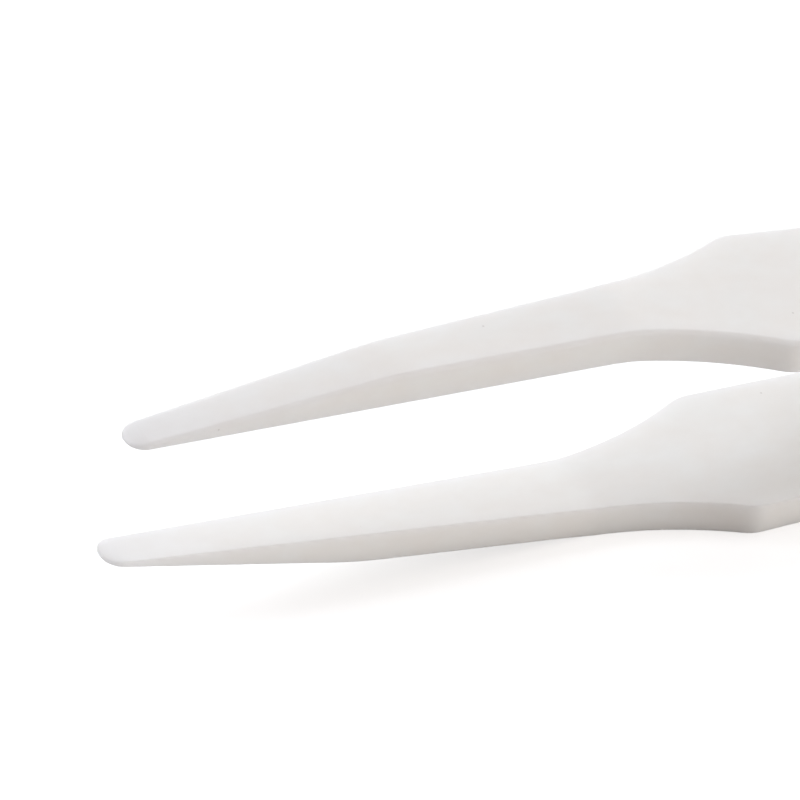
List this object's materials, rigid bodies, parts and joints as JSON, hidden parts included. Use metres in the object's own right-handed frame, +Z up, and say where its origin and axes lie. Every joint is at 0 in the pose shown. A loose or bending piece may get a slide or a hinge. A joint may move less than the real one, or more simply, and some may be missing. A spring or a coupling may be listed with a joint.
{
  "type": "plastic tweezers",
  "caption": "One-piece moulded plastic tweezers with slim, bevelled, round-ended jaws, wide flat grips and a solid rear end.",
  "frame": {"origin": "centre of the bounding box, on the surface that the tweezers lie on", "axes": "+X from the tips to the rear end, +Y across the arms, +Z up from the surface, in which the arms open"},
  "size_m": [0.1453, 0.0138, 0.0201],
  "materials": {
    "moulding": "satin, as moulded"
  },
  "bodies": {
    "root": {"tweezers": "moulding"}
  },
  "joints": []
}
